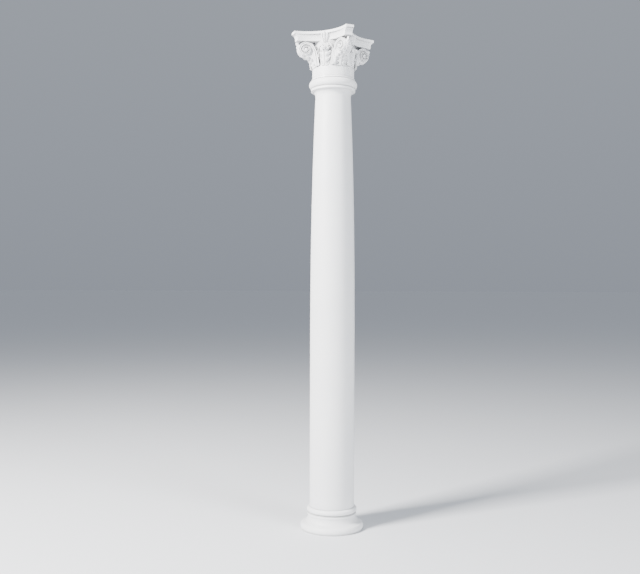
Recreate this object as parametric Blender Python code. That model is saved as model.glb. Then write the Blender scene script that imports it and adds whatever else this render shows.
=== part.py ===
"""A full decorative column in three castings, standing as it is put up: a round moulded base, a plain
hollow shaft with entasis, and a four-sided leaf-and-scroll capital. Metres, +Z up, origin under the base."""

import math

import bmesh
import bpy
from mathutils import Matrix, Vector

# Driving dimensions
SHAFT_LENGTH = 2.020
SHAFT_RADIUS = 0.108
SHAFT_WALL = 0.020
NECK_SHARE = 0.776  # neck radius over foot radius, where the taper would end
TAPER_START = 0.35  # share of the shaft's height that stays straight
TAPER_POWER = 2.5
LIP_RADIUS = 0.1075
LIP_HEIGHT = 0.011
FLARE_HEIGHT = 0.029
BASE_HEIGHT = 0.108
BASE_BORE = 0.081
CAPITAL_HEIGHT = 0.259
CAPITAL_BORE = 0.083
JOINT_GAP = 0.0003  # between castings that rest on each other

# Abacus, the slab on top of the capital
ABACUS_HALF = 0.160  # axis to the tips of the cut corners, along X or Y
ABACUS_CUT = 0.027  # how far each corner is cut back along both sides
ABACUS_WAIST = 0.109  # axis to the middle of a hollowed side
ABACUS_THICK = 0.0435
ABACUS_COVE = 0.012  # how far the side draws in underneath

# Corner scrolls. Across a corner, rho runs along the diagonal and the scroll faces splay from it.
SCROLL_EYE = (0.152, 0.1745)  # rho, z of the eye
SCROLL_RADIUS = 0.0310  # of the band's middle, at the top of the scroll
SCROLL_TURNS = 1.4
SCROLL_DECAY = 0.73  # shrink rate per turn
SCROLL_SPLAY = (  # rho, half the distance between the two scroll faces of a corner
    (0.080, 0.0655),
    (0.0903, 0.0515),
    (0.0945, 0.0460),
    (0.0990, 0.0395),
    (0.1060, 0.0340),
    (0.1500, 0.0205),
    (0.1900, 0.0050),
)
STALK = (  # rho, z of the band's middle, from the foot to the top of the scroll
    (0.0985, 0.097),
    (0.1015, 0.120),
    (0.1048, 0.146),
    (0.1115, 0.173),
    (0.1270, 0.1965),
    (SCROLL_EYE[0], SCROLL_EYE[1] + SCROLL_RADIUS),
)
BAND_WIDTHS = (0.012, 0.012, 0.0065)  # at the foot of the stalk, at the top of the scroll, at the eye
BAND_PROUD = 0.008
BAND_SUNK = 0.006
EYE_RADIUS = 0.0078

BELL_RADIUS = 0.098
LEAF_FOOT = 0.096  # height that the leaves and stalks grow from

ROUND_SEGMENTS = 32
WHITE = (0.86, 0.86, 0.87, 1.0)
PRIMER_ROUGHNESS = 0.45


def clear_scene():
    for obj in list(bpy.data.objects):
        bpy.data.objects.remove(obj)


def primer():
    """White factory primer, the finish of all three castings."""
    material = bpy.data.materials.new("white_primer")
    material.use_nodes = True
    shader = material.node_tree.nodes["Principled BSDF"]
    shader.inputs["Base Color"].default_value = WHITE
    shader.inputs["Roughness"].default_value = PRIMER_ROUGHNESS
    shader.inputs["Metallic"].default_value = 0.0
    return material


def arc(centre, radii, start, end, steps):
    """Points on an ellipse in the (radius, height) plane, angles in degrees."""
    angles = [math.radians(start + (end - start) * i / steps) for i in range(steps + 1)]
    return [
        (centre[0] + radii[0] * math.cos(a), centre[1] + radii[1] * math.sin(a))
        for a in angles
    ]


def smooth_path(points, per_span):
    """A Catmull-Rom curve through the points, with per_span steps between neighbours."""
    ends = [tuple(2 * a - b for a, b in zip(points[0], points[1]))]
    ends.append(tuple(2 * a - b for a, b in zip(points[-1], points[-2])))
    full = [ends[0], *points, ends[1]]
    path = []
    for i in range(1, len(full) - 2):
        for k in range(per_span):
            path.append(catmull(full[i - 1 : i + 3], k / per_span))
    path.append(points[-1])
    return path


def catmull(four, t):
    a, b, c, d = four
    return tuple(
        0.5 * (2 * q + (r - p) * t + (2 * p - 5 * q + 4 * r - s) * t**2 + (3 * q - p - 3 * r + s) * t**3)
        for p, q, r, s in zip(a, b, c, d)
    )


def blend(values, t):
    """Reads evenly spaced values at t from 0 to 1, in straight steps."""
    place = min(max(t, 0.0), 1.0) * (len(values) - 1)
    i = min(int(place), len(values) - 2)
    return values[i] + (values[i + 1] - values[i]) * (place - i)


def add_loft(mesh, rings):
    """A closed skin through rings of equal length, with a flat cap at each end."""
    rows = [[mesh.verts.new(p) for p in ring] for ring in rings]
    count = len(rows[0])
    for low, high in zip(rows, rows[1:]):
        for i in range(count):
            j = (i + 1) % count
            mesh.faces.new((low[i], low[j], high[j], high[i]))
    mesh.faces.new(rows[0][::-1])
    mesh.faces.new(rows[-1])


def add_lathe(mesh, profile):
    """A ring-shaped solid: the closed (radius, height) outline turned about Z."""
    verts = [mesh.verts.new((r, 0.0, z)) for r, z in profile]
    edges = [mesh.edges.new((verts[i - 1], verts[i])) for i in range(len(verts))]
    bmesh.ops.spin(
        mesh,
        geom=verts + edges,
        axis=(0.0, 0.0, 1.0),
        cent=(0.0, 0.0, 0.0),
        angle=math.tau,
        steps=ROUND_SEGMENTS,
        use_merge=True,
    )


def new_object(name, mesh, z=0.0):
    bmesh.ops.triangulate(mesh, faces=[f for f in mesh.faces if len(f.verts) > 4])
    bmesh.ops.recalc_face_normals(mesh, faces=mesh.faces)
    data = bpy.data.meshes.new(name)
    mesh.to_mesh(data)
    mesh.free()
    obj = bpy.data.objects.new(name, data)
    bpy.context.scene.collection.objects.link(obj)
    obj.location.z = z
    return obj


def shade_round(obj, material):
    obj.data.materials.append(material)
    obj.data.shade_smooth()
    obj.data.set_sharp_from_angle(angle=math.radians(35.0))


# Base


def base_outline():
    """From the bore's foot outwards and up: lower torus, cove, fillet, groove, upper torus."""
    lower_torus = arc((0.1375, 0.014), (0.015, 0.020), -40, 90, 6)
    cove = arc((0.1375, 0.0665), (0.0215, 0.030), 270, 180, 4)
    fillet = [(0.1178, 0.0675), (0.1178, 0.0765), (0.1130, 0.0778), (0.1130, 0.0806)]
    upper_torus = arc((0.1045, 0.0945), (0.0165, 0.0135), -75, 90, 5)
    foot = [(BASE_BORE, 0.0), (0.1475, 0.0)]
    return foot + lower_torus + cove + fillet + upper_torus + [(BASE_BORE, BASE_HEIGHT)]


def make_base(material):
    mesh = bmesh.new()
    add_lathe(mesh, base_outline())
    shade_round(new_object("base", mesh), material)


# Shaft


def shaft_radius(share):
    """Outer radius at a share of the shaft's height: straight below, then drawing in ever faster."""
    rise = max(0.0, share - TAPER_START) / (1.0 - TAPER_START)
    return SHAFT_RADIUS * (1.0 - (1.0 - NECK_SHARE) * rise**TAPER_POWER)


def shaft_outline():
    neck_height = SHAFT_LENGTH - LIP_HEIGHT - FLARE_HEIGHT
    neck_share = neck_height / SHAFT_LENGTH
    shares = [0.0] + [TAPER_START + (neck_share - TAPER_START) * i / 6 for i in range(7)]
    outer = [(shaft_radius(s), s * SHAFT_LENGTH) for s in shares]
    inner = [(r - SHAFT_WALL, z) for r, z in outer]
    neck = outer[-1][0]
    reach = LIP_RADIUS - 0.003 - neck
    flare = arc((neck + reach, neck_height), (reach, FLARE_HEIGHT), 180, 90, 4)[1:]
    lip = [(LIP_RADIUS, SHAFT_LENGTH - LIP_HEIGHT), (LIP_RADIUS, SHAFT_LENGTH)]
    mouth = [(inner[-1][0], SHAFT_LENGTH)]
    return outer + flare + lip + mouth + inner[::-1][1:]


def make_shaft(material):
    mesh = bmesh.new()
    add_lathe(mesh, shaft_outline())
    shade_round(new_object("shaft", mesh, BASE_HEIGHT + JOINT_GAP), material)


# Capital


def bell_outline():
    """Outer side of the capital's core, bottom to top: astragal, fillet, neck, bell."""
    astragal = arc((0.1005, 0.0195), (0.016, 0.0185), -65, 80, 5)
    fillet = [(0.1045, 0.0390), (0.1045, 0.0460), (0.1000, 0.0485)]
    neck = [(0.1015, 0.0540), (0.1015, LEAF_FOOT + 0.006), (BELL_RADIUS, LEAF_FOOT + 0.012)]
    top = [(BELL_RADIUS, 0.2190), (0.0880, 0.2195), (0.0880, 0.2500)]
    return [(0.1045, 0.0)] + astragal + fillet + neck + top


def add_bell(mesh):
    rings = []
    for r, z in bell_outline():
        angles = [math.tau * i / ROUND_SEGMENTS for i in range(ROUND_SEGMENTS)]
        rings.append([(r * math.cos(a), r * math.sin(a), z) for a in angles])
    add_loft(mesh, rings)


def abacus_ring(inset, z, steps=6):
    """The slab's outline, drawn in by inset: four hollowed sides between cut corners."""
    half, waist = ABACUS_HALF - inset, ABACUS_WAIST - inset
    chord = half - ABACUS_CUT
    hollow = half - waist
    radius = (chord**2 + hollow**2) / (2 * hollow)
    sweep = math.asin(chord / radius)
    ring = []
    for quarter in range(4):
        turn = Matrix.Rotation(quarter * math.pi / 2, 3, "Z")
        for i in range(steps + 1):
            a = -sweep + 2 * sweep * i / steps
            side = Vector((radius * math.sin(a), -waist - radius * (1 - math.cos(a)), z))
            ring.append(turn @ side)
    return ring


def add_abacus(mesh):
    foot = CAPITAL_HEIGHT - ABACUS_THICK
    cove = arc((0.0, foot + 0.007), (ABACUS_COVE - 0.002, ABACUS_THICK - 0.022), 0, 90, 3)
    levels = [(ABACUS_COVE, foot)]
    levels += [(0.002 + inset, z) for inset, z in cove]
    levels += [(0.0, CAPITAL_HEIGHT - 0.0145), (0.0, CAPITAL_HEIGHT)]
    add_loft(mesh, [abacus_ring(inset, z) for inset, z in levels])


def scroll_half_width(rho):
    """Half the distance between the two scroll faces of a corner, at rho along the diagonal."""
    for (near, wide), (far, narrow) in zip(SCROLL_SPLAY, SCROLL_SPLAY[1:]):
        if rho <= far:
            break
    return wide + (narrow - wide) * (rho - near) / (far - near)


def band_path(stalk_steps=1, turn_steps=8):
    """(rho, z, width) along the middle of a band: up the stalk, over, and round into the eye."""
    rise = smooth_path(STALK, stalk_steps)
    path = [
        (rho, z, blend(BAND_WIDTHS[:2], i / (len(rise) - 1))) for i, (rho, z) in enumerate(rise)
    ]
    count = round(SCROLL_TURNS * turn_steps)
    for i in range(1, count + 1):
        turned = SCROLL_TURNS * i / count
        radius = SCROLL_RADIUS * math.exp(-SCROLL_DECAY * turned)
        angle = math.pi / 2 - math.tau * turned
        rho = SCROLL_EYE[0] + radius * math.cos(angle)
        z = SCROLL_EYE[1] + radius * math.sin(angle)
        path.append((rho, z, blend(BAND_WIDTHS[1:], i / count)))
    return path


def path_normals(path):
    """Unit normals of a (rho, z, ...) path, to the left of its direction."""
    normals = []
    for i in range(len(path)):
        a, b = path[max(i - 1, 0)], path[min(i + 1, len(path) - 1)]
        along = Vector((b[0] - a[0], b[1] - a[1])).normalized()
        normals.append(Vector((-along.y, along.x)))
    return normals


def corner_point(quarter, rho, across, z):
    """A point placed along and across the diagonal of one corner."""
    angle = math.pi / 4 + quarter * math.pi / 2
    along = Vector((math.cos(angle), math.sin(angle), 0.0))
    aside = Vector((-math.sin(angle), math.cos(angle), 0.0))
    return along * rho + aside * across + Vector((0.0, 0.0, z))


def face_point(quarter, radius, across, z):
    """A point at a radius from the axis and at a sideways distance from the middle of one face."""
    out = math.sqrt(radius**2 - across**2)
    angle = quarter * math.pi / 2
    along = Vector((math.cos(angle), math.sin(angle), 0.0))
    aside = Vector((-math.sin(angle), math.cos(angle), 0.0))
    return along * out + aside * across + Vector((0.0, 0.0, z))


def wing_outline():
    """The solid behind the bands of one corner: up the stalk, over the scroll, down to the leaf."""
    path = band_path()
    inset, kept = 0.0015, 9
    edge = []
    for (rho, z, width), normal in list(zip(path, path_normals(path)))[:kept]:
        edge.append((rho + normal.x * (width / 2 - inset), z + normal.y * (width / 2 - inset)))
    under = [(0.1640, 0.1550), (0.1500, 0.1465), (0.1300, 0.1415), (0.1160, 0.1320), (0.1040, 0.1100)]
    return edge + under


def add_wings(mesh):
    outline = wing_outline()
    for quarter in range(4):
        sides = [
            [corner_point(quarter, rho, side * scroll_half_width(rho), z) for rho, z in outline]
            for side in (-1, 1)
        ]
        add_loft(mesh, sides)


def add_bands(mesh):
    path = band_path()
    normals = path_normals(path)
    for quarter in range(4):
        for side in (-1, 1):
            rings = []
            for (rho, z, width), normal in zip(path, normals):
                ring = []
                for shift, lift in ((-1, -BAND_SUNK), (1, -BAND_SUNK), (0.7, BAND_PROUD), (-0.7, BAND_PROUD)):
                    at_rho = rho + normal.x * shift * width / 2
                    across = side * (scroll_half_width(at_rho) + lift)
                    ring.append(corner_point(quarter, at_rho, across, z + normal.y * shift * width / 2))
                rings.append(ring)
            add_loft(mesh, rings)


def add_eyes(mesh):
    """A low round button at the middle of each scroll."""
    levels = ((1.0, -BAND_SUNK - 0.002), (1.0, BAND_PROUD + 0.0015), (0.5, BAND_PROUD + 0.005))
    for quarter in range(4):
        for side in (-1, 1):
            rings = []
            for share, lift in levels:
                ring = []
                for i in range(6):
                    a = math.tau * (i + 0.5) / 6
                    rho = SCROLL_EYE[0] + share * EYE_RADIUS * math.cos(a)
                    z = SCROLL_EYE[1] + share * EYE_RADIUS * math.sin(a)
                    across = side * (scroll_half_width(rho) + lift)
                    ring.append(corner_point(quarter, rho, across, z))
                rings.append(ring)
            add_loft(mesh, rings)


def leaf_rings(spine, widths, place, crown=0.008, sunk=0.006):
    """Cross-sections of a leaf that climbs along a (radius, height) spine, notched at every other one.
    place(radius, across, z) puts a point in space."""
    rings = []
    for i, ((radius, z), left) in enumerate(zip(spine, path_normals(spine))):
        notch = 1.0 if i % 2 == 0 else 0.78
        half = widths[i] * notch
        section = [
            (-1.0, 0.0),
            (-0.5, crown * notch),
            (0.0, crown * 0.7),
            (0.5, crown * notch),
            (1.0, 0.0),
            (0.7, -sunk),
            (-0.7, -sunk),
        ]
        ring = []
        for share, lift in section:
            ring.append(place(radius - left.x * lift, share * half, z - left.y * lift))
        rings.append(ring)
    return rings


def add_corner_leaves(mesh):
    """The big leaf under each corner: up the bell, out below the scrolls and up between them."""
    spine = [
        (0.0985, LEAF_FOOT),
        (0.1020, 0.1100),
        (0.1095, 0.1230),
        (0.1200, 0.1350),
        (0.1350, 0.1425),
        (0.1520, 0.1475),
        (0.1665, 0.1565),
        (0.1760, 0.1690),
        (0.1800, 0.1820),
        (0.1820, 0.1940),
        (0.1860, 0.2090),
    ]
    widths = (0.034, 0.037, 0.036, 0.033, 0.030, 0.026, 0.021, 0.0165, 0.0145, 0.0105, 0.003)
    bell_wrap = (5.0, 5.0, 4.0, 1.5, 0.6, 0.3, 0.0)

    for quarter in range(4):

        def place(radius, across, z):
            wrap = blend(bell_wrap, (z - LEAF_FOOT) / 0.08)
            return corner_point(quarter, radius - wrap * across**2, across, z)

        add_loft(mesh, leaf_rings(spine, widths, place))


def add_face_leaves(mesh):
    """The slim leaf in the middle of each face, between the stalks."""
    spine = [
        (0.0985, LEAF_FOOT),
        (0.0990, 0.113),
        (0.0995, 0.130),
        (0.1000, 0.147),
        (0.1030, 0.161),
        (0.1090, 0.172),
        (0.1180, 0.177),
        (0.1250, 0.172),
    ]
    widths = (0.021, 0.027, 0.028, 0.033, 0.031, 0.029, 0.019, 0.009)
    for quarter in range(4):

        def place(radius, across, z):
            return face_point(quarter, radius, across, z)

        add_loft(mesh, leaf_rings(spine, widths, place))


def helix_path(turn_steps=7):
    """(across, z, width) of the small scroll beside the middle leaf."""
    eye, radius, turns = (0.0215, 0.1870), 0.0120, 0.9
    stalk = [
        (0.0345, 0.138),
        (0.0370, 0.158),
        (0.0375, 0.176),
        (0.0315, 0.1930),
        (eye[0], eye[1] + radius),
    ]
    rise = smooth_path(stalk, 1)
    path = [(x, z, 0.0065) for x, z in rise]
    count = round(turns * turn_steps)
    for i in range(1, count + 1):
        turned = turns * i / count
        a = math.pi / 2 + math.tau * turned
        shrunk = radius * math.exp(-0.9 * turned)
        path.append((eye[0] + shrunk * math.cos(a), eye[1] + shrunk * math.sin(a), 0.0065 - 0.002 * i / count))
    return path


def add_helices(mesh):
    path = helix_path()
    normals = path_normals(path)
    for quarter in range(4):
        for side in (-1, 1):
            rings = []
            for (across, z, width), normal in zip(path, normals):
                ring = []
                for shift, lift in ((-1, -0.004), (1, -0.004), (0.6, 0.008), (-0.6, 0.008)):
                    aside = side * (across + normal.x * shift * width / 2)
                    height = z + normal.y * shift * width / 2
                    ring.append(face_point(quarter, BELL_RADIUS + lift, aside, height))
                rings.append(ring)
            add_loft(mesh, rings)


def add_fleurons(mesh):
    """A shell on the middle of each side of the abacus, in three lobes that fan up from its hinge."""
    back, valley = 0.088, 0.55
    rows = (  # height, half the width, distance from the axis at the crest of the middle lobe
        (0.2060, 0.0085, 0.1030),
        (0.2140, 0.0150, 0.1085),
        (0.2280, 0.0210, 0.1130),
        (0.2430, 0.0240, 0.1175),
        (0.2540, 0.0215, 0.1140),
    )
    crests = ((-1.0, 0.0), (-0.65, 0.8), (-0.33, valley), (0.0, 1.0), (0.33, valley), (0.65, 0.8), (1.0, 0.0))
    for quarter in range(4):
        angle = quarter * math.pi / 2
        along = Vector((math.cos(angle), math.sin(angle), 0.0))
        aside = Vector((-math.sin(angle), math.cos(angle), 0.0))
        rings = []
        for z, half_width, crest in rows:
            edge = ABACUS_WAIST - ABACUS_COVE
            ring = [
                along * (edge + (crest - edge) * share) + aside * half_width * place
                for place, share in crests
            ]
            ring += [along * back + aside * half_width * place for place in (0.9, -0.9)]
            rings.append([point + Vector((0.0, 0.0, z)) for point in ring])
        add_loft(mesh, rings)


def add_bore(mesh):
    margin = 0.01
    rings = []
    for z in (-margin, CAPITAL_HEIGHT + margin):
        angles = [math.tau * (i + 0.5) / ROUND_SEGMENTS for i in range(ROUND_SEGMENTS)]
        rings.append([(CAPITAL_BORE * math.cos(a), CAPITAL_BORE * math.sin(a), z) for a in angles])
    add_loft(mesh, rings)


def helper(name, add, z):
    """A closed shape that a Boolean joins to the capital or cuts from it."""
    mesh = bmesh.new()
    add(mesh)
    obj = new_object(name, mesh, z)
    obj.hide_render = True
    obj.display_type = "WIRE"
    return obj


def make_capital(material):
    z = BASE_HEIGHT + SHAFT_LENGTH + 2 * JOINT_GAP
    mesh = bmesh.new()
    add_bell(mesh)
    capital = new_object("capital", mesh, z)
    carving = {
        "abacus": add_abacus,
        "wings": add_wings,
        "bands": add_bands,
        "eyes": add_eyes,
        "corner_leaves": add_corner_leaves,
        "face_leaves": add_face_leaves,
        "helices": add_helices,
        "fleurons": add_fleurons,
    }
    for name, add in carving.items():
        join = capital.modifiers.new(name, "BOOLEAN")
        join.operation = "UNION"
        join.solver = "MANIFOLD"
        join.object = helper("carving_" + name, add, z)
    cut = capital.modifiers.new("bore", "BOOLEAN")
    cut.operation = "DIFFERENCE"
    cut.solver = "MANIFOLD"
    cut.object = helper("bore_cutter", add_bore, z)
    shade_round(capital, material)


def main():
    clear_scene()
    material = primer()
    make_base(material)
    make_shaft(material)
    make_capital(material)


main()
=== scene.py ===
"""The look of a cast decorative column: moulded base ring, smooth tapering shaft, and a capital with
corner scrolls and acanthus leaves, all in white factory primer."""

import math

import bmesh
import bpy
import numpy as np
from mathutils import Matrix, Vector


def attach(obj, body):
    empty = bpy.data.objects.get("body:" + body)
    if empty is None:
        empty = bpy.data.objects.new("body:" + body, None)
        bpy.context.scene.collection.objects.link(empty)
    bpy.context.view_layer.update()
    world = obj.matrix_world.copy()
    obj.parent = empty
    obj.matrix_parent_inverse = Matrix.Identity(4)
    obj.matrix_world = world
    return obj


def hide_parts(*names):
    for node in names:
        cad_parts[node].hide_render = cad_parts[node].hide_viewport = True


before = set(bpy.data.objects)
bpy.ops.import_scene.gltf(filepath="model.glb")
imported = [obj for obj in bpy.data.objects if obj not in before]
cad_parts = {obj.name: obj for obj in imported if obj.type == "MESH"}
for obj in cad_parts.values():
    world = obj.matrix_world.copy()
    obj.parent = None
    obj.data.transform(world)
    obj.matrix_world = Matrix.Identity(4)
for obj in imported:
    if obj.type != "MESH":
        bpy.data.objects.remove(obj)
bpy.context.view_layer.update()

# Dimensions shared with the solids, in metres, shares and turns
SHAFT_LENGTH = 2.020
SHAFT_RADIUS = 0.108
SHAFT_WALL = 0.020
NECK_SHARE = 0.776
TAPER_START = 0.35
TAPER_POWER = 2.5
LIP_RADIUS = 0.1075
LIP_HEIGHT = 0.011
FLARE_HEIGHT = 0.029
BASE_HEIGHT = 0.108
BASE_BORE = 0.081
CAPITAL_HEIGHT = 0.259
CAPITAL_BORE = 0.083
JOINT_GAP = 0.0003
SHAFT_Z = BASE_HEIGHT + JOINT_GAP
CAPITAL_Z = SHAFT_Z + SHAFT_LENGTH + JOINT_GAP

ABACUS_HALF = 0.160
ABACUS_CUT = 0.027
ABACUS_WAIST = 0.109
ABACUS_THICK = 0.0435
ABACUS_COVE = 0.012

SCROLL_EYE = (0.152, 0.1745)
SCROLL_RADIUS = 0.0310
SCROLL_TURNS = 1.75
SCROLL_DECAY = 0.76
SCROLL_SPLAY = (
    (0.080, 0.0655),
    (0.0903, 0.0515),
    (0.0945, 0.0460),
    (0.0990, 0.0395),
    (0.1060, 0.0340),
    (0.1500, 0.0205),
    (0.1900, 0.0050),
)
STALK = (
    (0.0985, 0.097),
    (0.1015, 0.120),
    (0.1048, 0.146),
    (0.1115, 0.173),
    (0.1270, 0.1965),
    (SCROLL_EYE[0], SCROLL_EYE[1] + SCROLL_RADIUS),
)
BELL_RADIUS = 0.098
LEAF_FOOT = 0.096

# How finely the castings are turned and the capital is carved
ROUND_STEPS = 192
VOXEL = 0.0012
CARVING_FACES = 152000


# Curves and outlines


def arc(centre, radii, start, end, steps):
    """Points on an ellipse in the (radius, height) plane, angles in degrees."""
    angles = np.radians(np.linspace(start, end, steps + 1))
    return [
        (centre[0] + radii[0] * math.cos(a), centre[1] + radii[1] * math.sin(a))
        for a in angles
    ]


def catmull(four, t):
    """The point at t from 0 to 1 between the middle two of four points, on a smooth curve."""
    return tuple(
        0.5 * (2 * q + (r - p) * t + (2 * p - 5 * q + 4 * r - s) * t**2 + (3 * q - p - 3 * r + s) * t**3)
        for p, q, r, s in zip(*four)
    )


def smooth_path(points, per_span):
    """A Catmull-Rom curve through the points, with per_span steps between neighbours."""
    before = tuple(2 * a - b for a, b in zip(points[0], points[1]))
    after = tuple(2 * a - b for a, b in zip(points[-1], points[-2]))
    full = [before, *points, after]
    path = []
    for i in range(1, len(full) - 2):
        for k in range(per_span):
            path.append(catmull(full[i - 1 : i + 3], k / per_span))
    path.append(tuple(points[-1]))
    return path


def blend(values, t):
    """Reads evenly spaced values at t from 0 to 1, in straight steps."""
    return float(np.interp(t, np.linspace(0.0, 1.0, len(values)), values))


def path_normals(path):
    """Unit normals of a (u, v, ...) path, to the left of its direction."""
    normals = []
    for i in range(len(path)):
        a, b = path[max(i - 1, 0)], path[min(i + 1, len(path) - 1)]
        along = Vector((b[0] - a[0], b[1] - a[1])).normalized()
        normals.append(Vector((-along.y, along.x)))
    return normals


def axes_of(angle):
    """Outward and sideways directions at an angle round the column."""
    along = Vector((math.cos(angle), math.sin(angle), 0.0))
    aside = Vector((-math.sin(angle), math.cos(angle), 0.0))
    return along, aside


def corner_point(quarter, rho, across, z):
    """A point placed along and across the diagonal of one corner."""
    along, aside = axes_of(math.pi / 4 + quarter * math.pi / 2)
    return along * rho + aside * across + Vector((0.0, 0.0, z))


def face_point(quarter, radius, across, z):
    """A point at a radius from the axis and at a sideways distance from the middle of one face."""
    along, aside = axes_of(quarter * math.pi / 2)
    out = math.sqrt(max(radius**2 - across**2, 0.0))
    return along * out + aside * across + Vector((0.0, 0.0, z))


# Meshes


def add_loft(mesh, rings):
    """A closed skin through rings of equal length, with a flat cap at each end."""
    rows = [[mesh.verts.new(p) for p in ring] for ring in rings]
    count = len(rows[0])
    for low, high in zip(rows, rows[1:]):
        for i in range(count):
            j = (i + 1) % count
            mesh.faces.new((low[i], low[j], high[j], high[i]))
    caps = [mesh.faces.new(rows[0][::-1]), mesh.faces.new(rows[-1])]
    if count > 4:
        bmesh.ops.triangulate(mesh, faces=caps)


def add_turned(mesh, profile, steps=ROUND_STEPS):
    """A solid of revolution with flat ends: (radius, height) points from the bottom up."""
    angles = [math.tau * i / steps for i in range(steps)]
    add_loft(mesh, [[(r * math.cos(a), r * math.sin(a), z) for a in angles] for r, z in profile])


def add_ring(mesh, profile, steps=ROUND_STEPS):
    """A ring-shaped solid: a closed (radius, height) outline turned about Z."""
    columns = []
    for i in range(steps):
        a = math.tau * i / steps
        columns.append([mesh.verts.new((r * math.cos(a), r * math.sin(a), z)) for r, z in profile])
    for i in range(steps):
        here, there = columns[i], columns[(i + 1) % steps]
        for k in range(len(profile)):
            mesh.faces.new((here[k - 1], there[k - 1], there[k], here[k]))


def append_mesh(mesh, part):
    """Copies one bmesh into another and frees it."""
    copies = {v: mesh.verts.new(v.co) for v in part.verts}
    for face in part.faces:
        mesh.faces.new([copies[v] for v in face.verts])
    part.free()


def new_object(name, mesh, z=0.0):
    """Turns a bmesh into a linked object whose place is in its vertices."""
    bmesh.ops.recalc_face_normals(mesh, faces=mesh.faces)
    bmesh.ops.translate(mesh, verts=mesh.verts, vec=(0.0, 0.0, z))
    data = bpy.data.meshes.new(name)
    mesh.to_mesh(data)
    mesh.free()
    obj = bpy.data.objects.new(name, data)
    bpy.context.scene.collection.objects.link(obj)
    return obj


def bake_modifiers(obj):
    """Replaces an object's mesh by its evaluated one."""
    graph = bpy.context.evaluated_depsgraph_get()
    data = bpy.data.meshes.new_from_object(obj.evaluated_get(graph))
    obj.modifiers.clear()
    old = obj.data
    obj.data = data
    bpy.data.meshes.remove(old)
    data.name = obj.name


def combine(obj, operation, add):
    """Joins a closed shape to an object, or cuts it away, and bakes the result."""
    mesh = bmesh.new()
    add(mesh)
    other = new_object("tool", mesh, CAPITAL_Z)
    change = obj.modifiers.new(operation, "BOOLEAN")
    change.operation = operation
    change.solver = "MANIFOLD"
    change.object = other
    bake_modifiers(obj)
    bpy.data.objects.remove(other)


def finish_piece(obj, node, material, sharp_degrees=40.0):
    """Gives a casting its material, its shading and its place in the frame."""
    obj.data.materials.clear()
    obj.data.materials.append(material)
    obj.data.shade_smooth()
    obj.data.set_sharp_from_angle(angle=math.radians(sharp_degrees))
    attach(obj, "root")
    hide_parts(node)


# Base


def base_profile():
    """Foot, lower torus, cove, fillet, groove, upper torus and top ring, outwards and up."""
    foot = [(BASE_BORE, 0.0), (BASE_BORE + 0.002, 0.0), (0.1460, 0.0)]
    lower_torus = arc((0.1375, 0.014), (0.015, 0.020), -44, 88, 26)
    step = [(0.1375, 0.0345), (0.1368, 0.0360)]
    cove = arc((0.1365, 0.0665), (0.0195, 0.0300), 268, 180, 20)
    fillet = [(0.1172, 0.0674), (0.1178, 0.0682), (0.1178, 0.0760), (0.1172, 0.0768), (0.1134, 0.0776)]
    groove = [(0.1130, 0.0784), (0.1130, 0.0800)]
    upper_torus = arc((0.1045, 0.0945), (0.0165, 0.0135), -72, 90, 26)
    top = [(BASE_BORE + 0.002, BASE_HEIGHT), (BASE_BORE, BASE_HEIGHT - 0.002)]
    return foot + lower_torus + step + cove + fillet + groove + upper_torus + top


def make_base(material):
    mesh = bmesh.new()
    add_ring(mesh, base_profile())
    finish_piece(new_object("base_ring", mesh), "base", material)


# Shaft


def shaft_radius(share):
    """Outer radius at a share of the shaft's height: straight below, then drawing in ever faster."""
    rise = max(0.0, share - TAPER_START) / (1.0 - TAPER_START)
    return SHAFT_RADIUS * (1.0 - (1.0 - NECK_SHARE) * rise**TAPER_POWER)


def shaft_profile(steps=56):
    """Closed outline of the tube's wall: foot, outer face, cove, lip, and back down the inside."""
    neck_height = SHAFT_LENGTH - LIP_HEIGHT - FLARE_HEIGHT
    ease = 0.0015
    heights = [ease + (neck_height - ease) * i / steps for i in range(steps + 1)]
    outer = [(shaft_radius(z / SHAFT_LENGTH), z) for z in heights]
    foot = [
        (SHAFT_RADIUS - SHAFT_WALL, 0.0),
        (SHAFT_RADIUS - ease, 0.0),
        (SHAFT_RADIUS - 0.0004, 0.0005),
    ]
    neck = outer[-1][0]
    reach = LIP_RADIUS - 0.003 - neck
    flare = arc((neck + reach, neck_height), (reach, FLARE_HEIGHT), 180, 90, 18)[1:]
    lip_foot = SHAFT_LENGTH - LIP_HEIGHT
    lip = [
        (LIP_RADIUS - 0.0008, lip_foot),
        (LIP_RADIUS, lip_foot + 0.0008),
        (LIP_RADIUS, SHAFT_LENGTH - 0.0012),
        (LIP_RADIUS - 0.0012, SHAFT_LENGTH),
    ]
    inner = [(r - SHAFT_WALL, z) for r, z in outer]
    mouth = [(inner[-1][0], SHAFT_LENGTH)]
    return foot + outer + flare + lip + mouth + inner[::-1]


def make_shaft(material):
    mesh = bmesh.new()
    add_ring(mesh, shaft_profile())
    finish_piece(new_object("shaft_tube", mesh, SHAFT_Z), "shaft", material)


# Capital: turned and moulded parts


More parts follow.
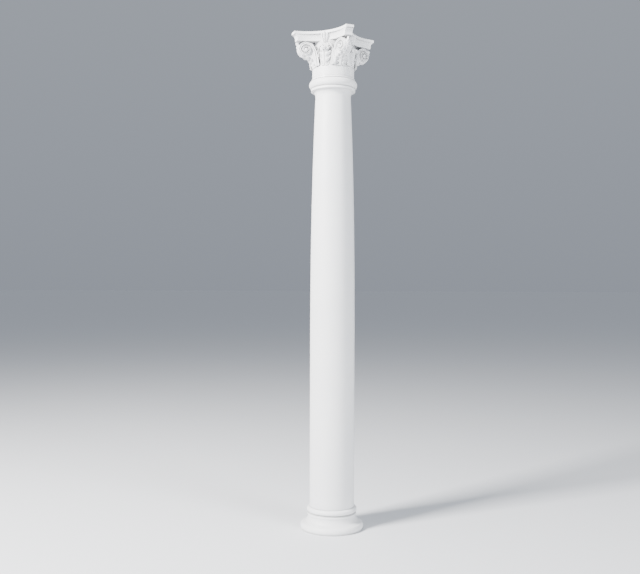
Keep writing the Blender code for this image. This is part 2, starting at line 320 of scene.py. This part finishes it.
def add_bell(mesh):
    """The turned part of the capital: astragal, fillet, plain neck, bell, and a band under the slab."""
    foot_radius, neck_radius, band_radius, top_radius = 0.1040, 0.1015, 0.1005, 0.0900
    astragal = arc((0.1005, 0.0195), (0.016, 0.0190), -72, 82, 30)
    fillet = [(0.1026, 0.0386), (0.1026, 0.0396), (0.1043, 0.0402), (0.1045, 0.0410)]
    fillet += [(0.1045, 0.0455), (0.1040, 0.0464), (0.1010, 0.0480)]
    neck_heights = (0.0560, 0.0680, 0.0800, 0.0885, 0.0925, LEAF_FOOT + 0.004)
    neck = [(0.1008, 0.0500)] + [(neck_radius, z) for z in neck_heights]
    bell = [(BELL_RADIUS, LEAF_FOOT + 0.010), (BELL_RADIUS, 0.2080)]
    band = [(band_radius, 0.2130), (band_radius, 0.2200)]
    top = [(top_radius, 0.2240), (top_radius, 0.2480)]
    add_turned(mesh, [(foot_radius, 0.0)] + astragal + fillet + neck + bell + band + top)


def add_core(mesh):
    """A plain core inside the bell that ties all the carving together while it is fused."""
    radius, foot, top = BELL_RADIUS - 0.004, LEAF_FOOT + 0.014, 0.2140
    add_turned(mesh, [(radius, foot), (radius, top)], 96)


def abacus_ring(inset, z, steps=36):
    """The slab's outline, drawn in by inset: four hollowed sides between cut corners."""
    half, waist = ABACUS_HALF - inset, ABACUS_WAIST - inset
    chord = half - ABACUS_CUT
    hollow = half - waist
    radius = (chord**2 + hollow**2) / (2 * hollow)
    sweep = math.asin(chord / radius)
    ring = []
    for quarter in range(4):
        turn = Matrix.Rotation(quarter * math.pi / 2, 3, "Z")
        for i in range(steps + 1):
            a = -sweep + 2 * sweep * i / steps
            side = Vector((radius * math.sin(a), -waist - radius * (1 - math.cos(a)), z))
            ring.append(turn @ side)
    return ring


def drawn_in(ring, radius):
    """The ring's points moved in to a circle round the axis, each at its own height."""
    return [Vector((*(p.xy.normalized() * radius), p.z)) for p in ring]


def add_abacus(mesh):
    """Cove, quirk and top band of the slab, with softened arrises. The flat faces above and below
    run in to a round hub, which the bore takes away."""
    foot = CAPITAL_HEIGHT - ABACUS_THICK
    band = CAPITAL_HEIGHT - 0.0125
    hub = CAPITAL_BORE - 0.012
    cove = arc((0.0, foot + 0.007), (ABACUS_COVE - 0.002, ABACUS_THICK - 0.022), 0, 90, 16)
    levels = [(ABACUS_COVE + 0.0020, foot), (ABACUS_COVE + 0.0006, foot), (ABACUS_COVE, foot + 0.0006)]
    levels += [(0.002 + inset, z) for inset, z in cove]
    levels += [(0.0040, band - 0.0024), (0.0040, band - 0.0004), (0.0006, band), (0.0, band + 0.0006)]
    levels += [(0.0, CAPITAL_HEIGHT - 0.0008), (0.0008, CAPITAL_HEIGHT), (0.0020, CAPITAL_HEIGHT)]
    rings = [abacus_ring(inset, z) for inset, z in levels]
    add_loft(mesh, [drawn_in(rings[0], hub), *rings, drawn_in(rings[-1], hub)])


SHELL_FOOT = 0.2060
SHELL_HEIGHT = 0.0490
SHELL_BACK = 0.088
SHELL_LEVELS = (  # share of the height, half the width, radius of the crest
    (0.0, 0.0085, 0.1030),
    (0.16, 0.0150, 0.1085),
    (0.45, 0.0210, 0.1130),
    (0.76, 0.0240, 0.1175),
    (0.92, 0.0232, 0.1165),
    (1.0, 0.0205, 0.1115),
)


def shell_ring(quarter, up, columns=45, notch=0.36):
    """A shell's outline at a share of its height: three ribbed lobes in front, which reach highest in
    the middle and are parted at notch, and a plain back inside the slab."""
    along, aside = axes_of(quarter * math.pi / 2)
    edge = ABACUS_WAIST - ABACUS_COVE
    heights, half_widths, crests = zip(*SHELL_LEVELS)
    half = float(np.interp(up, heights, half_widths))
    crest = float(np.interp(up, heights, crests))

    def place(out, across, z):
        return along * out + aside * half * across + Vector((0.0, 0.0, z))

    ring = []
    for u in np.linspace(-1.0, 1.0, columns):
        phase = math.tau * u / (2 * notch)
        lobe = (0.5 + 0.5 * math.cos(phase)) ** 0.6
        rib = math.cos(3 * phase)
        share = (1.0 - abs(u) ** 3.5) * (0.56 + 0.44 * lobe + 0.02 * rib)
        z = SHELL_FOOT + SHELL_HEIGHT * up * (1.0 - 0.14 * up * u**2) + 0.0030 * (lobe - 1.0) * up**2
        ring.append(place(edge + (crest - edge) * share, u, z))
    for u in (0.9, 0.3, -0.3, -0.9):
        ring.append(place(SHELL_BACK, u, SHELL_FOOT + SHELL_HEIGHT * up * 0.96))
    return ring


def add_shells(mesh, rows=30):
    """A shell on the middle of each side of the abacus, fanning up from its hinge."""
    for quarter in range(4):
        add_loft(mesh, [shell_ring(quarter, k / rows) for k in range(rows + 1)])


def add_bore(mesh):
    """The hole through the capital, a little longer than it at both ends."""
    past = 0.01
    add_turned(mesh, [(CAPITAL_BORE, -past), (CAPITAL_BORE, CAPITAL_HEIGHT + past)], 96)


# Capital: scrolls


def scroll_half_width(rho):
    """Half the distance between the two scroll faces of a corner, at rho along the diagonal."""
    known = np.array(SCROLL_SPLAY)
    return float(np.interp(rho, known[:, 0], known[:, 1]))


def scroll_path(stalk_steps=8, turn_steps=56):
    """(rho, z, width, turned) along a band: up the stalk, over, and round into the eye."""
    foot_width, top_width, eye_width = 0.0120, 0.0125, 0.0036
    rise = smooth_path(STALK, stalk_steps)
    path = []
    for i, (rho, z) in enumerate(rise):
        path.append((rho, z, blend((foot_width, top_width), i / (len(rise) - 1)), 0.0))
    count = round(SCROLL_TURNS * turn_steps)
    for i in range(1, count + 1):
        turned = SCROLL_TURNS * i / count
        radius = SCROLL_RADIUS * math.exp(-SCROLL_DECAY * turned)
        angle = math.pi / 2 - math.tau * turned
        rho = SCROLL_EYE[0] + radius * math.cos(angle)
        z = SCROLL_EYE[1] + radius * math.sin(angle)
        path.append((rho, z, blend((top_width, eye_width), (i / count) ** 0.8), turned))
    return path


def wing_outline():
    """The solid behind the bands of one corner: up the stalk, round the scroll, down to the leaf."""
    inset, last_turn = 0.0015, 0.4
    path = scroll_path()
    keep = next(i for i, point in enumerate(path) if point[3] > last_turn)
    edge = []
    for point, normal in zip(path[:keep], path_normals(path)):
        rho, z, width = point[:3]
        out = width / 2 - inset
        edge.append((rho + normal.x * out, z + normal.y * out))
    under = [(0.1640, 0.1550), (0.1500, 0.1465), (0.1300, 0.1415), (0.1160, 0.1320), (0.1040, 0.1100)]
    return edge + under


def add_wings(mesh):
    """Each wing is cut into narrow upright strips, so that its faces follow the splay."""
    first_cut, last_cut, spacing = 0.084, 0.190, 0.004
    outline = wing_outline()
    for quarter in range(4):
        part = bmesh.new()
        add_loft(part, [[(rho, side, z) for rho, z in outline] for side in (-1.0, 1.0)])
        for cut in np.arange(first_cut, last_cut, spacing):
            everything = part.verts[:] + part.edges[:] + part.faces[:]
            bmesh.ops.bisect_plane(part, geom=everything, plane_co=(cut, 0, 0), plane_no=(1, 0, 0))
        bmesh.ops.triangulate(part, faces=part.faces)
        for vert in part.verts:
            rho, side, z = vert.co
            vert.co = corner_point(quarter, rho, side * scroll_half_width(rho), z)
        append_mesh(mesh, part)


def add_strip(mesh, path, place, section):
    """A raised strip along a path. section gives (share of half the width, lift) for each path point,
    and place(u, v, lift) puts a point on the surface that the strip follows."""
    rings = []
    for i, (point, normal) in enumerate(zip(path, path_normals(path))):
        u, v, width = point[:3]
        rings.append([
            place(u + normal.x * shift * width / 2, v + normal.y * shift * width / 2, lift)
            for shift, lift in section(i)
        ])
    add_loft(mesh, rings)


def scroll_place(quarter, side):
    """Puts (rho, z) on one scroll face of a corner, lifted off it."""
    return lambda rho, z, lift: corner_point(quarter, rho, side * (scroll_half_width(rho) + lift), z)


BAND_SECTION = (  # share of half the width, share of the height that the band stands proud
    (-1.0, 0.30),
    (-0.96, 0.72),
    (-0.78, 1.0),
    (-0.56, 0.96),
    (-0.40, 0.66),
    (-0.20, 0.46),
    (0.0, 0.40),
    (0.20, 0.46),
    (0.40, 0.66),
    (0.56, 0.96),
    (0.78, 1.0),
    (0.96, 0.72),
    (1.0, 0.30),
)


def add_scroll_bands(mesh):
    """A grooved band up each stalk and round each scroll, standing further out towards the eye."""
    path = scroll_path()
    sunk, proud, rise = 0.006, 0.0085, 0.0035

    def section(i):
        out = rise * min(path[i][3] / SCROLL_TURNS, 1.0)
        return [(-1.0, -sunk)] + [(s, out + proud * h) for s, h in BAND_SECTION] + [(1.0, -sunk)]

    for quarter in range(4):
        for side in (-1, 1):
            add_strip(mesh, path, scroll_place(quarter, side), section)


def add_scroll_ribs(mesh):
    """Shallow ribs on the broad web between each stalk and the leaf under the scroll, which stop
    clear of the scroll."""
    sunk, proud, width, clear, count = 0.005, 0.0040, 0.0058, 0.006, 26
    leaf_edge = [(0.1070, 0.106), (0.1145, 0.125), (0.1250, 0.140), (0.1390, 0.151)]
    stalk = np.array(smooth_path(STALK, 8))
    under = np.array(smooth_path(leaf_edge, 8))
    top = stalk[np.linspace(2, len(stalk) - 6, count).astype(int)]
    low = under[np.linspace(0, len(under) - 1, count).astype(int)]
    half = ((-1.0, -sunk), (-1.0, 0.2 * proud), (-0.5, proud))
    section = half + tuple((-shift, lift) for shift, lift in half[::-1])
    for share in (0.32, 0.54, 0.76):
        between = [(*point, width) for point in top * (1 - share) + low * share]
        path = [p for p in between if math.dist(p[:2], SCROLL_EYE) > SCROLL_RADIUS + clear]
        for quarter in range(4):
            for side in (-1, 1):
                add_strip(mesh, path, scroll_place(quarter, side), lambda i: section)


def add_scroll_eyes(mesh):
    """A round button at the middle of each scroll."""
    radius, steps = 0.0062, 24
    levels = ((1.0, -0.006), (1.0, 0.0115), (0.92, 0.0135), (0.70, 0.0152), (0.35, 0.0162))
    rho, z = SCROLL_EYE
    angles = [math.tau * i / steps for i in range(steps)]
    for quarter in range(4):
        for side in (-1, 1):
            place = scroll_place(quarter, side)
            rings = []
            for share, lift in levels:
                r = share * radius
                rings.append([place(rho + r * math.cos(a), z + r * math.sin(a), lift) for a in angles])
            add_loft(mesh, rings)


def helix_path(turn_steps=36):
    """(across, z, width) of the small scroll beside the middle leaf."""
    eye, radius, turns, decay = (0.0215, 0.1870), 0.0120, 1.35, 0.90
    foot_width, eye_width = 0.0066, 0.0036
    stalk = [(0.0345, 0.138), (0.0370, 0.158), (0.0375, 0.176), (0.0315, 0.1930)]
    stalk.append((eye[0], eye[1] + radius))
    path = [(x, z, foot_width) for x, z in smooth_path(stalk, 6)]
    count = round(turns * turn_steps)
    for i in range(1, count + 1):
        turned = turns * i / count
        a = math.pi / 2 + math.tau * turned
        shrunk = radius * math.exp(-decay * turned)
        width = foot_width + (eye_width - foot_width) * i / count
        path.append((eye[0] + shrunk * math.cos(a), eye[1] + shrunk * math.sin(a), width))
    return path


def add_helices(mesh):
    """Two small scrolls on each face, which rise beside the middle leaf and curl in over it."""
    path = helix_path()
    half = ((-1.0, -0.004), (-1.0, 0.0035), (-0.8, 0.0070), (-0.35, 0.0086))
    section = half + tuple((-shift, lift) for shift, lift in half[::-1])
    for quarter in range(4):
        for side in (-1, 1):

            def place(across, z, lift):
                return face_point(quarter, BELL_RADIUS + lift, side * across, z)

            add_strip(mesh, path, place, lambda i: section)


# Capital: leaves


def lobe_wave(phase):
    """0 in the notch between two lobes and 1 at a lobe's crest, leaning upwards."""
    part = phase - math.floor(phase)
    return math.sin(math.pi * part**1.35) ** 0.8


LEAF_SLANT = 0.55  # how far a lobe drops on its way from the edge to the midrib, in lobes
LEAF_TEETH = 3.0


def bump(*offsets):
    """1 where every offset is 0, and falling off smoothly as any of them nears 1."""
    return math.exp(-sum(offset**2 for offset in offsets))


def leaf_lift(across, phase, crown):
    """How far a leaf stands out, at -1 to 1 across it and at a phase along its lobes: a rounded
    crown, flutes, veins, a sunk midrib between low ridges, and a pit at the foot of each notch."""
    flute, vein, midrib, ridge, pit = 0.0044, 0.0015, 0.0034, 0.0014, 0.0080
    far = abs(across)
    rim = 1.0 - far**8
    wave = lobe_wave(phase)
    to_notch = abs(phase - round(phase))
    lift = crown * (1.0 - far**3.0) * (0.80 + 0.20 * wave)
    lift += flute * (0.25 + 0.75 * far) * (wave - 0.60) * rim
    lift += vein * far**0.7 * math.cos(math.tau * LEAF_TEETH * phase) * rim
    lift -= midrib * bump(across / 0.07)
    lift += ridge * bump((far - 0.17) / 0.08)
    lift -= pit * bump((far - 0.62) / 0.15, to_notch / 0.13)
    return lift


def leaf_rings(spine, widths, place, lobes, crown=0.008, sunk=0.006, notch=0.36, steps=9, columns=33):
    """Cross-sections of an acanthus leaf climbing a (radius, height) spine, with toothed lobes along
    both edges."""
    tooth_depth = 0.06
    back = ((0.85, sunk * 0.8), (0.4, sunk), (-0.4, sunk), (-0.85, sunk * 0.8))
    path = smooth_path(spine, steps)
    rings = []
    for i, ((radius, z), left) in enumerate(zip(path, path_normals(path))):
        t = i / (len(path) - 1)
        edge = lobes * t - LEAF_SLANT
        tooth = 0.5 - 0.5 * math.cos(math.tau * LEAF_TEETH * edge)
        half = blend(widths, t) * (1.0 - notch * (1.0 - lobe_wave(edge)) - tooth_depth * (1.0 - tooth))
        ring = []
        for s in np.linspace(-1.0, 1.0, columns):
            lift = leaf_lift(s, lobes * t - LEAF_SLANT * abs(s), crown)
            ring.append(place(radius - left.x * lift, s * half, z - left.y * lift))
        for share, drop in back:
            ring.append(place(radius + left.x * drop, share * half, z + left.y * drop))
        rings.append(ring)
    return rings


def add_corner_leaves(mesh):
    """The big leaf under each corner: up the bell, out below the scrolls and up between them."""
    spine = [
        (0.0985, LEAF_FOOT),
        (0.1020, 0.1100),
        (0.1095, 0.1230),
        (0.1200, 0.1350),
        (0.1350, 0.1425),
        (0.1520, 0.1475),
        (0.1665, 0.1565),
        (0.1760, 0.1690),
        (0.1800, 0.1820),
        (0.1820, 0.1940),
        (0.1860, 0.2090),
    ]
    widths = (0.034, 0.037, 0.036, 0.033, 0.030, 0.026, 0.021, 0.0165, 0.0145, 0.0105, 0.003)
    bell_wrap = (5.0, 5.0, 4.0, 1.5, 0.6, 0.3, 0.0)  # bends the leaf round the bell, from its foot up
    wrap_height = 0.08
    for quarter in range(4):

        def place(radius, across, z):
            wrap = blend(bell_wrap, (z - LEAF_FOOT) / wrap_height)
            return corner_point(quarter, radius - wrap * across**2, across, z)

        add_loft(mesh, leaf_rings(spine, widths, place, lobes=7))


def add_face_leaves(mesh):
    """The leaf in the middle of each face, between the stalks."""
    spine = [
        (0.0985, LEAF_FOOT),
        (0.0990, 0.113),
        (0.0995, 0.130),
        (0.1000, 0.147),
        (0.1030, 0.161),
        (0.1090, 0.172),
        (0.1180, 0.177),
        (0.1250, 0.172),
    ]
    widths = (0.021, 0.027, 0.030, 0.033, 0.033, 0.029, 0.021, 0.009)
    for quarter in range(4):

        def place(radius, across, z):
            return face_point(quarter, radius, across, z)

        add_loft(mesh, leaf_rings(spine, widths, place, lobes=4, columns=29))


def fused_carving():
    """Leaves and scrolls in one body, fused and softened as a casting is."""
    mesh = bmesh.new()
    for add in (
        add_core,
        add_wings,
        add_scroll_bands,
        add_scroll_ribs,
        add_scroll_eyes,
        add_helices,
        add_corner_leaves,
        add_face_leaves,
    ):
        add(mesh)
    carving = new_object("capital_carving", mesh, CAPITAL_Z)
    fuse = carving.modifiers.new("fuse", "REMESH")
    fuse.mode = "VOXEL"
    fuse.voxel_size = VOXEL
    soften = carving.modifiers.new("soften", "SMOOTH")
    soften.factor = 0.5
    soften.iterations = 1
    bake_modifiers(carving)
    triangles = sum(len(p.vertices) - 2 for p in carving.data.polygons)
    thin = carving.modifiers.new("thin", "DECIMATE")
    thin.ratio = min(1.0, CARVING_FACES / triangles)
    bake_modifiers(carving)
    return carving


def keep_outer_skin(obj):
    """Removes the small closed skins that a union leaves round pockets sealed inside it."""
    mesh = bmesh.new()
    mesh.from_mesh(obj.data)
    left = set(mesh.verts)
    skins = []
    while left:
        skin = {left.pop()}
        unvisited = list(skin)
        while unvisited:
            near = {v for edge in unvisited.pop().link_edges for v in edge.verts} - skin
            skin |= near
            unvisited.extend(near)
        left -= skin
        skins.append(skin)
    outer = max(skins, key=len)
    bmesh.ops.delete(mesh, geom=[v for v in mesh.verts if v not in outer], context="VERTS")
    mesh.to_mesh(obj.data)
    mesh.free()


def make_capital(material):
    """The carving on a cleanly turned bell, under a crisp slab with its shells, bored through."""
    capital = fused_carving()
    for add in (add_bell, add_abacus, add_shells):
        combine(capital, "UNION", add)
    combine(capital, "DIFFERENCE", add_bore)
    keep_outer_skin(capital)
    finish_piece(capital, "capital", material, sharp_degrees=50.0)


# Materials


def add_node(tree, kind, **values):
    """A shader node with the named inputs set."""
    made = tree.nodes.new(kind)
    for name, value in values.items():
        made.inputs[name.replace("_", " ")].default_value = value
    return made


def add_noise(tree, place, scale, detail, roughness):
    """Seedless noise over the object's own coordinates."""
    noise = add_node(tree, "ShaderNodeTexNoise", Scale=scale, Detail=detail, Roughness=roughness)
    tree.links.new(place.outputs["Object"], noise.inputs["Vector"])
    return noise.outputs["Fac"]


def map_range(tree, source, low, high, to_low, to_high):
    """Carries a value from one range to another, clamped."""
    made = add_node(tree, "ShaderNodeMapRange", From_Min=low, From_Max=high, To_Min=to_low, To_Max=to_high)
    tree.links.new(source, made.inputs["Value"])
    return made.outputs["Result"]


def primer_tone(tree, place):
    """White that drifts a little from place to place."""
    tone = tree.nodes.new("ShaderNodeValToRGB")
    dull, clean = tone.color_ramp.elements
    dull.position = 0.30
    dull.color = (0.815, 0.818, 0.826, 1.0)
    clean.position = 0.70
    clean.color = (0.870, 0.870, 0.870, 1.0)
    tree.links.new(add_noise(tree, place, 4.0, 5.0, 0.55), tone.inputs["Fac"])
    return tone.outputs["Color"]


def painted_crease_shade(tree):
    """Painted shade: 1 on open surfaces, and less in the creases and hollows of the carving, where it
    darkens the colour as shade would.
    """
    shape = tree.nodes.new("ShaderNodeNewGeometry")
    # Painted shade in concave creases, read from the surface's pointiness, and in hollows, read from
    # ambient occlusion
    painted_crease_darkening = map_range(tree, shape.outputs["Pointiness"], 0.44, 0.51, 0.70, 1.0)
    depth = add_node(tree, "ShaderNodeAmbientOcclusion", Distance=0.022)
    painted_hollow_darkening = map_range(tree, depth.outputs["AO"], 0.35, 0.85, 0.62, 1.0)
    painted_shade_total = tree.nodes.new("ShaderNodeMath")
    painted_shade_total.operation = "MULTIPLY"
    tree.links.new(painted_crease_darkening, painted_shade_total.inputs[0])
    tree.links.new(painted_hollow_darkening, painted_shade_total.inputs[1])
    return painted_shade_total.outputs["Value"]


def uneven_normal(tree, place):
    """Fine orange peel over broad, shallow waves."""
    fine = add_node(tree, "ShaderNodeBump", Strength=0.10, Distance=0.0004)
    tree.links.new(add_noise(tree, place, 650.0, 2.0, 0.5), fine.inputs["Height"])
    broad = add_node(tree, "ShaderNodeBump", Strength=0.10, Distance=0.0010)
    tree.links.new(add_noise(tree, place, 34.0, 3.0, 0.5), broad.inputs["Height"])
    tree.links.new(fine.outputs["Normal"], broad.inputs["Normal"])
    return broad.outputs["Normal"]


def primer_material():
    """White factory primer on cast foam: satin, slightly uneven in tone, with a faint orange peel and
    painted shade in the carving's creases and hollows.
    """
    material = bpy.data.materials.new("white_primer_coat")
    material.use_nodes = True
    tree = material.node_tree
    place = tree.nodes.new("ShaderNodeTexCoord")
    shader = tree.nodes["Principled BSDF"]
    shader.inputs["IOR"].default_value = 1.46
    shader.inputs["Metallic"].default_value = 0.0
    colour = tree.nodes.new("ShaderNodeVectorMath")
    colour.operation = "SCALE"
    tree.links.new(primer_tone(tree, place), colour.inputs[0])
    # The primer's tone is darkened by painted shade in the creases and hollows of the carving
    tree.links.new(painted_crease_shade(tree), colour.inputs["Scale"])
    tree.links.new(colour.outputs["Vector"], shader.inputs["Base Color"])
    patches = map_range(tree, add_noise(tree, place, 22.0, 4.0, 0.6), 0.35, 0.65, 0.40, 0.54)
    tree.links.new(patches, shader.inputs["Roughness"])
    tree.links.new(uneven_normal(tree, place), shader.inputs["Normal"])
    return material


# Studio


def make_floor():
    """A pale floor, so wide that its edges never show."""
    reach = 900.0
    mesh = bmesh.new()
    bmesh.ops.create_grid(mesh, x_segments=1, y_segments=1, size=reach)
    floor = new_object("studio_floor", mesh)
    material = bpy.data.materials.new("studio_floor")
    material.use_nodes = True
    shader = material.node_tree.nodes["Principled BSDF"]
    shader.inputs["Base Color"].default_value = (0.74, 0.75, 0.77, 1.0)
    shader.inputs["Roughness"].default_value = 0.9
    shader.inputs["Specular IOR Level"].default_value = 0.2
    floor.data.materials.append(material)


def make_area_light(name, place, target, size, watts, colour):
    """A rectangular light at a place, aimed at a target."""
    data = bpy.data.lights.new(name, "AREA")
    data.shape = "RECTANGLE"
    data.size, data.size_y = size
    data.energy = watts
    data.color = colour
    light = bpy.data.objects.new(name, data)
    bpy.context.scene.collection.objects.link(light)
    light.location = place
    aim = Vector(target) - Vector(place)
    light.rotation_euler = aim.to_track_quat("-Z", "Y").to_euler()


def make_sky():
    """A soft blue-grey surround, as dark at the horizon as the far floor and brighter overhead."""
    world = bpy.data.worlds.new("studio")
    world.use_nodes = True
    tree = world.node_tree
    place = tree.nodes.new("ShaderNodeTexCoord")
    split = tree.nodes.new("ShaderNodeSeparateXYZ")
    tree.links.new(place.outputs["Generated"], split.inputs["Vector"])
    rise = tree.nodes.new("ShaderNodeValToRGB")
    horizon, zenith = rise.color_ramp.elements
    horizon.color = (0.306, 0.334, 0.387, 1.0)
    zenith.color = (0.480, 0.515, 0.570, 1.0)
    tree.links.new(split.outputs["Z"], rise.inputs["Fac"])
    tree.links.new(rise.outputs["Color"], tree.nodes["Background"].inputs["Color"])
    bpy.context.scene.world = world


def make_studio():
    make_floor()
    make_sky()
    make_area_light("key", (-2.5, -4.1, 4.2), (0, 0, 1.5), (1.3, 1.7), 1500.0, (1.0, 0.985, 0.97))
    make_area_light("fill", (4.6, -1.9, 3.4), (0, 0, 1.4), (1.8, 1.8), 300.0, (0.94, 0.97, 1.0))


# The photograph's camera, fitted to the column's outlines: pixels, metres and radians
FRAME_PX = (640.0, 574.0)
FOCAL_PX = 830.0
AXIS_PX = 332.5
HORIZON_PX = 290.0
CAMERA_DISTANCE = 4.04
CAMERA_AZIMUTH = math.radians(23.0)
CAMERA_ROLL = math.radians(0.19)
CAMERA_Z = 1.155


def make_camera():
    """A level camera, a little right of square to one side of the capital."""
    data = bpy.data.cameras.new("camera")
    camera = bpy.data.objects.new("camera", data)
    bpy.context.scene.collection.objects.link(camera)
    a = CAMERA_AZIMUTH
    camera.location = (CAMERA_DISTANCE * math.sin(a), -CAMERA_DISTANCE * math.cos(a), CAMERA_Z)
    yaw = math.atan((AXIS_PX - FRAME_PX[0] / 2) / FOCAL_PX)
    camera.rotation_euler = (math.pi / 2, -CAMERA_ROLL, a + yaw)
    data.sensor_width = 36.0
    data.sensor_fit = "HORIZONTAL"
    data.lens = 36.0 * FOCAL_PX / FRAME_PX[0]
    data.shift_y = (HORIZON_PX - FRAME_PX[1] / 2) / FRAME_PX[0]
    bpy.context.scene.camera = camera


def main():
    material = primer_material()
    make_base(material)
    make_shaft(material)
    make_capital(material)
    make_studio()
    make_camera()


main()
